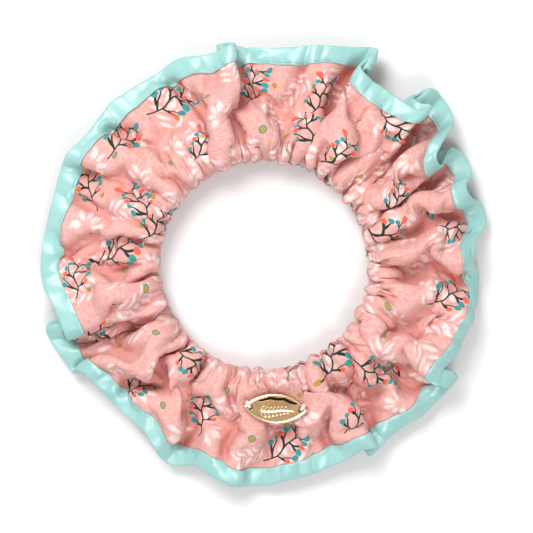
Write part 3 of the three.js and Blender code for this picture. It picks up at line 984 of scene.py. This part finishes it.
# Sprigs on the top layer: x, y, the way the stem points in degrees, and size.
SPRIGS = [
    (-26, 43, 25, 1.0), (-38, 35, 70, 0.95), (-18, 32, 55, 0.75), (-4, 47, 80, 0.85), (16, 45, 60, 0.9),
    (12, 37, 100, 0.85), (34, 38, -50, 1.0), (19, 28, 25, 0.8), (-48, 21, 95, 0.8), (-33, 18, 120, 0.9),
    (-29, 9, 60, 0.85), (-41, 3, 25, 1.05), (-52, -4, 95, 0.85), (-47, -20, 35, 0.9), (-35, -32, 10, 0.75),
    (-20, -24, -60, 0.8), (-17, -39, 80, 0.95), (4, -49, 30, 1.0), (18, -25, 70, 0.9), (30, -29, -30, 0.95),
    (26, -42, 60, 0.8), (50, -8, 20, 0.95), (52, 10, -15, 0.85), (31, 7, -20, 0.85), (36, 16, 60, 0.8),
]
SPRIG_SPACING = (27.0, 19.0)
LEAF_SPACING = (14.5, 12.0)
DOT_SPACING = (17.0, 14.0)


def flat_place(x, y):
    """The place on the strip of the highest point of the top layer near x, y, and the turn from the plan to
    the strip there."""
    top = CLOTH[:, ROWS // 2:]
    near = np.hypot(top[..., 0] - x, top[..., 1] - y) < 1.2
    column, row = np.unravel_index(np.argmax(np.where(near, top[..., 2], -1)), near.shape)
    inward = top[column, max(row - 3, 0)] - top[column, min(row + 3, top.shape[1] - 1)]
    return ALONG[column], ACROSS[ROWS // 2 + row], math.atan2(-inward[1], -inward[0])


def scattered(rng, spacing, low, high):
    """Uneven rows of places over the strip, from low to high across it: along, across, turn and size."""
    places = []
    count = round(EDGE_LENGTH / spacing[0])
    for number, across in enumerate(np.arange(low + spacing[1] / 2, high, spacing[1])):
        for k in range(count):
            along = (k + 0.5 * (number % 2) + rng.uniform(-0.25, 0.25)) * EDGE_LENGTH / count
            shift = rng.uniform(-0.22, 0.22) * spacing[1]
            places.append((along, across + shift, rng.uniform(0, math.tau), rng.uniform(0.85, 1.15)))
    return places


def motif_map(places, kinds, corners, centres):
    """The coordinates of every corner in the frame of the motif nearest to its quad."""
    places = np.array(places)
    squeeze = np.interp(np.abs(centres[:, 1]), np.abs(ACROSS[ROWS // 2:]), FULLNESS[ROWS // 2:])
    far = np.hypot(wrapped(centres[:, None, 0] - places[None, :, 0]) * squeeze[:, None],
                   centres[:, None, 1] - places[None, :, 1])
    nearest = far.argmin(axis=1)
    along, across, turn, size = (places[nearest, k][:, None] for k in range(4))
    fullness = np.interp(np.abs(corners[..., 1]), np.abs(ACROSS[ROWS // 2:]), FULLNESS[ROWS // 2:])
    u = wrapped(corners[..., 0] - along) * fullness / size
    v = (corners[..., 1] - across) / size
    x = u * np.cos(turn) + v * np.sin(turn)
    y = v * np.cos(turn) - u * np.sin(turn)
    return np.stack([x + KIND * kinds[nearest][:, None], y], axis=-1)


def print_layout(corners):
    """Every layer of coordinates that the printed cotton needs, for the corners of its quads."""
    rng = np.random.default_rng(SEED)
    centres = corners.mean(axis=1)
    sprigs = []
    for x, y, points, size in SPRIGS:
        along, across, outward = flat_place(x, y)
        sprigs.append((along, across, outward - math.radians(points), size))
    sprigs += scattered(rng, SPRIG_SPACING, -36, -2)
    leaves = scattered(rng, LEAF_SPACING, -38, 38)
    dots = scattered(rng, DOT_SPACING, -38, 38)
    return {
        "cloth": corners,
        "sprig": motif_map(sprigs, np.zeros(len(sprigs)), corners, centres),
        "leaf": motif_map(leaves, rng.integers(0, 2, len(leaves)), corners, centres),
        "dot": motif_map(dots, (rng.random(len(dots)) < 0.3).astype(int), corners, centres),
    }


# ---- Pieces ----

def corner_grid(along, across):
    """Flat coordinates for the corners of the quads of a grid, from those of its columns and rows."""
    u = np.broadcast_to(along[:, None], (len(along), len(across)))
    v = np.broadcast_to(across[None, :], (len(along), len(across)))
    flat = np.stack([u, v], axis=-1)
    corners = (flat[:-1, :-1], flat[:-1, 1:], flat[1:, 1:], flat[1:, :-1])
    return np.stack(corners, axis=2).reshape(-1, 4, 2)


def add_cover():
    """The printed cotton."""
    points = CLOTH.reshape(-1, 3)
    faces = faces_between(COLUMNS, ROWS, True, False)
    corners = corner_grid(np.append(ALONG, EDGE_LENGTH), ACROSS)
    pieces = add_ring("cotton_cover", "cover", points, faces, printed_cotton(),
                      print_layout(corners))
    lengths = np.bincount(arc_of(points[faces].mean(axis=1)), minlength=len(ARCS)) / (ROWS - 1) * DU
    for piece, length in zip(pieces, lengths):
        length * MM


TAPE_WIDTH = 5.0
TAPE_THICK = 0.26
TAPE_SKIN = 0.08
TAPE_TOP = TAPE_SKIN + TAPE_THICK
TAPE_END_STEPS = 14  # the lapped end climbs over the first end within this many columns
PUCKER = 1.9
JOIN_ANGLE = math.radians(127)
JOIN_LAP = 16


def frill_side(distance, side):
    """Points and outward normals of one side of the frill, along a line at a distance from its edge."""
    row = ROWS - 1 - distance / DV
    low = min(int(row), ROWS - 2)
    share = row - low
    point = CLOTH[:, low] * (1 - share) + CLOTH[:, low + 1] * share
    normal = CLOTH_NORMAL[:, low] * (1 - share) + CLOTH_NORMAL[:, low + 1] * share
    normal = normal / np.linalg.norm(normal, axis=1, keepdims=True)
    if side < 0:
        point = point - normal * FRILL_GAP * min(distance / 2, 1)
    return point, normal * side


def puckers():
    """How much the satin stands off the cloth, in small crosswise swells along the ring, above and below."""
    rng = np.random.default_rng(SEED + 1)
    return {side: PUCKER * (wander(rng, 1.6) + 0.8 * wander(rng, 4.5)).clip(-1.5, 2.2) for side in (1, -1)}


def tape_face(lift):
    """One face of the folded tape: from its inner edge above the frill, round the frill's edge, to below."""
    swell = puckers()
    distances = TAPE_WIDTH * np.array([1, 0.97, 0.85, 0.65, 0.45, 0.25, 0.08])
    crown = np.array([0.0, 0.05, 0.1, 0.13, 0.13, 0.1, 0.06])
    over, under = [], []
    for distance, puff in zip(distances, crown):
        for side, rows in ((1, over), (-1, under)):
            point, normal = frill_side(distance, side)
            rows.append(point + normal * (lift + puff * (1.5 + swell[side]))[:, None])
    edge, normal = frill_side(0, 1)
    inside, _ = frill_side(1.4, 1)
    outward = edge - inside
    outward /= np.linalg.norm(outward, axis=1, keepdims=True)
    middle = edge - normal * 0.1
    radius = lift + 0.12
    bend = [middle + radius * (normal * math.cos(turn) + outward * math.sin(turn))
            for turn in np.radians([25, 60, 90, 120, 155])]
    return np.stack(over + bend + under[::-1], axis=1)


def lapped(values, start):
    """Rows of values round the ring, from the tape's first end to its last end, which laps over the first."""
    order = (start + np.arange(COLUMNS + JOIN_LAP)) % COLUMNS
    return values[order]


def add_binding():
    """The satin tape, folded over the frill's edge, with its ends overlapped at the upper left."""
    edge_angle = np.arctan2(EDGE[:, 1], EDGE[:, 0])
    start = int(np.argmin(np.abs(edge_angle - JOIN_ANGLE)))
    outer, inner = tape_face(TAPE_TOP), tape_face(TAPE_SKIN)
    past_start = np.arange(COLUMNS + JOIN_LAP) - COLUMNS
    raised = (TAPE_THICK + 0.05) * smoothstep(past_start, -TAPE_END_STEPS, -1)[:, None, None]
    away = outer - inner
    away /= np.linalg.norm(away, axis=2, keepdims=True)
    lift = lapped(away, start) * raised
    outer, inner = lapped(outer, start) + lift, lapped(inner, start) + lift
    points, faces = band(outer, inner, False)
    columns, rows = outer.shape[:2]
    width = np.linspace(0, 2 * TAPE_WIDTH, rows)
    corners = corner_grid(np.arange(columns) * DU, np.concatenate([width, width[::-1], width[:1]]))
    ends = np.zeros((len(faces) - len(corners), 4, 2))
    add_ring("satin_binding", "binding", points, faces, satin(),
             {"cloth": np.concatenate([corners, ends])})


STITCH_FROM_EDGE = 4.2
STITCH_STEPS = 4
STITCH_GAP_STEPS = 1
STITCH_RADIUS = 0.13


def add_binding_stitches():
    """Short stitches along the tape's inner edge, above and below."""
    paths = []
    for side in (1, -1):
        point, normal = frill_side(STITCH_FROM_EDGE, side)
        line = point + normal * (TAPE_TOP + 0.08)
        dip = point + normal * (TAPE_TOP - 0.1)
        step = STITCH_STEPS + STITCH_GAP_STEPS
        for first in range(0, COLUMNS - step + 1, step):
            run = np.arange(first, first + STITCH_STEPS + 1)
            path = line[run].copy()
            path[[0, -1]] = dip[run[[0, -1]]]
            paths.append(path)
    points, faces = tubes(np.array(paths), STITCH_RADIUS, sides=6)
    per_tube = len(faces) // len(paths)
    middles = np.array([path[len(path) // 2] for path in paths])
    add_ring("binding_stitches", "binding_stitch", points, faces,
             thread("mint thread", *MINT_THREAD),
             arcs=np.repeat(arc_of(middles), per_tube))


ELASTIC_IN_R = 32.85
ELASTIC_THICK = 0.9
LAP_ANGLE = 0.16
LAP_RAMP = 0.14
LAP_SHIFT = 0.65
ELASTIC_RIBS = 7
ELASTIC_RIB_DEPTH = 0.09
ELASTIC_EDGE_ROUND = 0.35


def add_elastic():
    """The braided band: ribbed along its length, its ends lapped side by side at the back."""
    low, high = (corner[2] for corner in cad_box("elastic_right"))
    turn = np.linspace(-LAP_ANGLE, math.tau + LAP_ANGLE, 420)
    past = np.minimum(turn, math.tau - turn)
    aside = LAP_SHIFT * (1 - smoothstep(past, LAP_ANGLE, LAP_ANGLE + LAP_RAMP))
    middle = ELASTIC_IN_R + ELASTIC_THICK / 2 + np.where(turn < math.pi, -aside, aside)
    height = np.linspace(low, high, 29)
    ribs = ELASTIC_RIB_DEPTH * np.cos((height - low) / (high - low) * math.tau * ELASTIC_RIBS)
    ends = np.clip(np.minimum(height - low, high - height) / ELASTIC_EDGE_ROUND, 0, 1)
    half = (ELASTIC_THICK / 2 - 0.1) * np.sqrt(1 - (1 - ends) ** 2 * 0.8) + ribs
    angle = (math.pi / 2 + turn)[:, None]
    outer = polar(middle[:, None] + half, angle, height[None, :])
    inner = polar(middle[:, None] - half, angle, height[None, :])
    points, faces = band(outer[:, ::-1], inner[:, ::-1], False)
    width = np.append(height, height[::-1])
    corners = corner_grid(turn * ELASTIC_IN_R, np.append(width, width[:1]))
    extra = len(faces) - len(corners)
    turned = np.repeat((turn[:-1] + turn[1:]) / 2, 2 * len(height))
    sector = np.clip(turned // SECTOR, 0, len(ARCS) - 1).astype(int)
    arcs = (sector + HALF_RING) % len(ARCS)
    arcs = np.concatenate([arcs, np.repeat([HALF_RING, HALF_RING - 1], extra // 2)])
    add_ring("elastic_band", "elastic", points, faces, braided_elastic(),
             {"cloth": np.concatenate([corners, np.zeros((extra, 4, 2))])}, arcs)


def add_rigid(name, node, body, material, points, faces):
    """A piece that moves with one CAD body and stands for one CAD node."""
    piece = add_mesh(name, points, faces, point_normals(points, faces), material)
    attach(piece, body)
    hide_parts(node)
    return piece


def add_elastic_join(white):
    """Zigzag stitching that goes up the outside of the elastic's lapped ends and down the inside."""
    low, high = cad_box("elastic_join_thread")
    turns = 11
    middle, half = (low[0] + high[0]) / 2, (high[0] - low[0]) / 2 - 0.15
    height = np.linspace(low[2] + 0.3, high[2] - 0.3, turns)
    side = np.where(np.arange(turns) % 2 == 0, -half, half)
    outside = np.stack([middle + side, np.full(turns, high[1] - 0.35), height], axis=1)
    inside = np.stack([middle + side, np.full(turns, low[1] + 0.5), height], axis=1)
    loop = closed_curve(np.concatenate([outside, inside[::-1]]), 220)[0]
    points, faces = tubes(loop[None], 0.16, closed=True)
    add_rigid("elastic_zigzag", "elastic_join_thread", "back_right_end", white, points, faces)


def add_closing_seam(white):
    """Running stitches down the inside of the cotton, where the strip is closed into a ring at the back."""
    fold = CLOTH[:, ROWS // 2]
    column = int(np.argmin(np.abs(np.arctan2(fold[:, 1], fold[:, 0]) - math.pi / 2) + (fold[:, 1] < 0)))
    rows = np.arange(12, ROWS - 12)
    line = CLOTH[column, rows] - CLOTH_NORMAL[column, rows] * 0.35
    line[:, 0] = np.clip(line[:, 0], -2, 2)
    stitches = np.array([line[k:k + 4] for k in range(0, len(line) - 4, 5)])
    points, faces = tubes(stitches, 0.15, sides=6)
    add_rigid("closing_seam", "cover_seam_thread", "back_right_end", white, points, faces)


CHARM_THICK = 0.7
RIM_RADIUS = 0.32
GROOVE_WIDTH = 0.75
GROOVE_FLOOR = 0.08
GROOVE_FROM, GROOVE_TO = -4.6, 5.8
SHEET_BEVEL = 0.09
HOLE_X = 6.9
HOLE_R = 0.75
STEM_FROM, STEM_TO = -4.8, 5.2
STEM_POINTS = 21
STEM_RADIUS = 0.27
LEAF_PAIRS = 7
LEAF_REACH = 1.25
LEAF_SIDE = 1.6
LEAF_SHRINK = 0.11  # each pair of leaves reaches this much less to the side than the last
LEAF_HALF_WIDTH = 0.3
LEAF_RADIUS = 0.19


def oval_half(x):
    """Half the width of the pointed oval at x along it: two arcs that meet at its tips."""
    a, b = CHARM_LENGTH / 2, CHARM_WIDTH / 2
    radius = (a * a + b * b) / (2 * b)
    return np.sqrt(np.maximum(radius**2 - np.square(x), 0)) - (radius - b)


def scalloped(x):
    """How far the groove's wavy line stands in from the upper edge."""
    return 0.75 + 0.28 * np.abs(np.sin((x + 5.6) * math.pi / 3.9))


def groove_sides():
    """The two long sides of the groove along the plate's upper edge."""
    run = np.linspace(GROOVE_FROM, GROOVE_TO, 48)
    upper = oval_half(run) - scalloped(run)
    width = GROOVE_WIDTH * np.sqrt(np.clip(1 - ((run - 0.6) / 5.3) ** 4, 0, 1)) + 0.03
    return np.stack([run, upper], 1), np.stack([run, upper - width], 1)


def charm_outlines():
    """The plate's outline, its groove and its two sewing holes."""
    x = CHARM_LENGTH / 2 * np.cos(np.linspace(0, math.pi, 60))
    outline = np.concatenate([np.stack([x, oval_half(x)], 1), np.stack([-x, -oval_half(x)], 1)[1:-1]])
    upper, lower = groove_sides()
    turn = np.linspace(0, math.tau, 28, endpoint=False)
    hole = np.stack([HOLE_R * np.cos(turn), HOLE_R * np.sin(turn)], 1)
    return [outline, np.concatenate([upper, lower[::-1]]), hole + (HOLE_X, 0), hole - (HOLE_X, 0)]


def groove_floor():
    """A strip that closes the groove at the plate's back."""
    upper, lower = groove_sides()
    wide = np.stack([upper + (0, 0.15), lower - (0, 0.15)], axis=1)
    top, bottom = (np.dstack([wide, np.full(wide.shape[:2], z)]) for z in (GROOVE_FLOOR, 0.01))
    return band(top, bottom, False)


def charm_leaf(start, tip, side):
    """A leaf's two edges, which bow apart between its start and its tip."""
    bow = np.linspace(0, math.pi, 9)[:, None]
    line = start + (tip - start) * np.linspace(0, 1, 9)[:, None]
    edges = [line + np.sin(bow) * bulge * np.array([-side, 1, 0])
             for bulge in (LEAF_HALF_WIDTH, -LEAF_HALF_WIDTH)]
    return [tubes(edge[None], LEAF_RADIUS, sides=6) for edge in edges]


def charm_relief(top):
    """The groove's floor and the raised lines: the rim, and a plain twig with leaves along the middle."""
    outline = charm_outlines()[0] * (1 - 2 * RIM_RADIUS / CHARM_WIDTH)
    rim = np.column_stack([outline, np.full(len(outline), top)])
    parts = [groove_floor(), tubes(closed_curve(rim, 200)[0][None], RIM_RADIUS, sides=12, closed=True)]
    x = np.linspace(STEM_FROM, STEM_TO, STEM_POINTS)
    stem = np.column_stack([x, -0.7 + 0.35 * np.sin(x * 0.55), np.full(STEM_POINTS, top)])
    parts.append(tubes(stem[None], STEM_RADIUS))
    for pair in range(LEAF_PAIRS):
        start = stem[2 + 2 * pair]
        for side in (1, -1):
            tip = start + (LEAF_REACH, side * (LEAF_SIDE - LEAF_SHRINK * pair), 0)
            parts += charm_leaf(start, tip, side)
    return parts


def merged(parts):
    """One set of points and quads from several."""
    count, points, faces = 0, [], []
    for some_points, some_faces in parts:
        points.append(some_points)
        faces.append(some_faces + count)
        count += len(some_points)
    return np.concatenate(points), np.concatenate(faces)


def on_charm(points):
    """From the charm's own frame, flat and centred, to its place on the ring."""
    cos, sin = math.cos(CHARM_TURN), math.sin(CHARM_TURN)
    x = CHARM_X + points[..., 0] * cos - points[..., 1] * sin
    y = CHARM_Y + points[..., 0] * sin + points[..., 1] * cos
    return np.stack([x, y, points[..., 2] + cad_box("charm_plate")[0][2]], axis=-1)


def charm_blank():
    """Points and faces of the flat plate, cut from sheet with rounded edges."""
    curve = bpy.data.curves.new("charm_blank", "CURVE")
    curve.dimensions = "2D"
    curve.fill_mode = "BOTH"
    curve.extrude = (CHARM_THICK / 2 - SHEET_BEVEL) * MM
    curve.bevel_depth = SHEET_BEVEL * MM
    curve.offset = -SHEET_BEVEL * MM
    curve.bevel_resolution = 3
    for outline in charm_outlines():
        spline = curve.splines.new("POLY")
        spline.points.add(len(outline) - 1)
        for point, (x, y) in zip(spline.points, outline):
            point.co = (x * MM, y * MM, 0, 1)
        spline.use_cyclic_u = True
    blank = bpy.data.objects.new("charm_blank", curve)
    mesh = bpy.data.meshes.new_from_object(blank)
    bpy.data.objects.remove(blank)
    points = np.array([v.co for v in mesh.vertices]) / MM + (0, 0, CHARM_THICK / 2)
    return points, [list(p.vertices) for p in mesh.polygons]


def add_charm():
    """The gold plate with its raised rim and twig."""
    plate, faces = charm_blank()
    relief_points, relief_faces = merged(charm_relief(CHARM_THICK))
    points = np.concatenate([plate, relief_points])
    faces += (relief_faces + len(plate)).tolist()
    charm = bpy.data.meshes.new("charm")
    charm.from_pydata((on_charm(points) * MM).tolist(), [], faces)
    charm.polygons.foreach_set("use_smooth", np.ones(len(faces), bool))
    charm.materials.append(gold())
    piece = bpy.data.objects.new("gold_charm", charm)
    bpy.context.collection.objects.link(piece)
    charm.set_sharp_from_angle(angle=math.radians(40))
    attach(piece, "front")
    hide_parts("charm_plate")


def add_charm_threads(white):
    """Three turns of thread through each sewing hole and over the plate's upper edge."""
    high = CHARM_THICK + RIM_RADIUS + 0.28
    to_edge = 1.75
    run = to_edge * np.array([0, 0, 0.5, 1, 1, 0.5])
    height = np.array([-0.1, high, high + 0.15, high, -0.1, -0.3])
    lean = math.radians(60)
    for name, side in (("left", -1), ("right", 1)):
        loops = []
        for beside in (-0.3, 0, 0.3):
            x = side * (HOLE_X + run * math.cos(lean) - beside * math.sin(lean))
            y = run * math.sin(lean) + beside * math.cos(lean)
            loops.append(closed_curve(np.column_stack([x, y, height]), 40)[0])
        points, faces = tubes(on_charm(np.array(loops)), 0.17, closed=True)
        add_rigid(f"charm_thread_loops_{name}", f"charm_thread_{name}", "front", white,
                  points, faces)


add_cover()
add_binding()
add_binding_stitches()
add_elastic()
WHITE = thread("white thread", *WHITE_THREAD)
add_elastic_join(WHITE)
add_closing_seam(WHITE)
add_charm()
add_charm_threads(WHITE)


# ---- Stage, light and camera ----

def add_floor():
    """The white table top that the scrunchie lies on."""
    mesh = bpy.data.meshes.new("floor")
    mesh.from_pydata([(-1, -1, 0), (1, -1, 0), (1, 1, 0), (-1, 1, 0)], [], [(0, 1, 2, 3)])
    surface = Surface("white floor", Roughness=0.6)
    surface.shader.inputs["Base Color"].default_value = (0.75, 0.75, 0.75, 1)
    mesh.materials.append(surface.material)
    floor = bpy.data.objects.new("floor", mesh)
    bpy.context.collection.objects.link(floor)


def add_light(name, place, power, size):
    """A square lamp that points at the ring."""
    light = bpy.data.objects.new(name, bpy.data.lights.new(name, "AREA"))
    light.data.energy = power
    light.data.size = size
    light.location = place
    light.rotation_euler = (-light.location).to_track_quat("-Z", "Y").to_euler()
    bpy.context.collection.objects.link(light)


def add_camera():
    """A camera straight above the ring, which sees a little more than the ring's width at table height."""
    camera = bpy.data.objects.new("camera", bpy.data.cameras.new("camera"))
    height = 0.75
    width_seen = 0.1454
    sensor = 36
    camera.location = (0.0005, -0.0003, height)
    camera.data.sensor_width = sensor
    camera.data.lens = sensor * height / width_seen
    bpy.context.collection.objects.link(camera)
    bpy.context.scene.camera = camera


add_floor()
add_light("key", Vector((-0.18, 0.30, 0.46)), 3.25, 0.30)
add_light("fill", Vector((0.12, -0.28, 0.44)), 1.5, 0.24)
world = bpy.data.worlds.new("studio")
world.use_nodes = True
world.node_tree.nodes["Background"].inputs["Color"].default_value = (1, 1, 1, 1)
world.node_tree.nodes["Background"].inputs["Strength"].default_value = 0.5
bpy.context.scene.world = world
add_camera()
bpy.context.scene.view_settings.view_transform = "Standard"
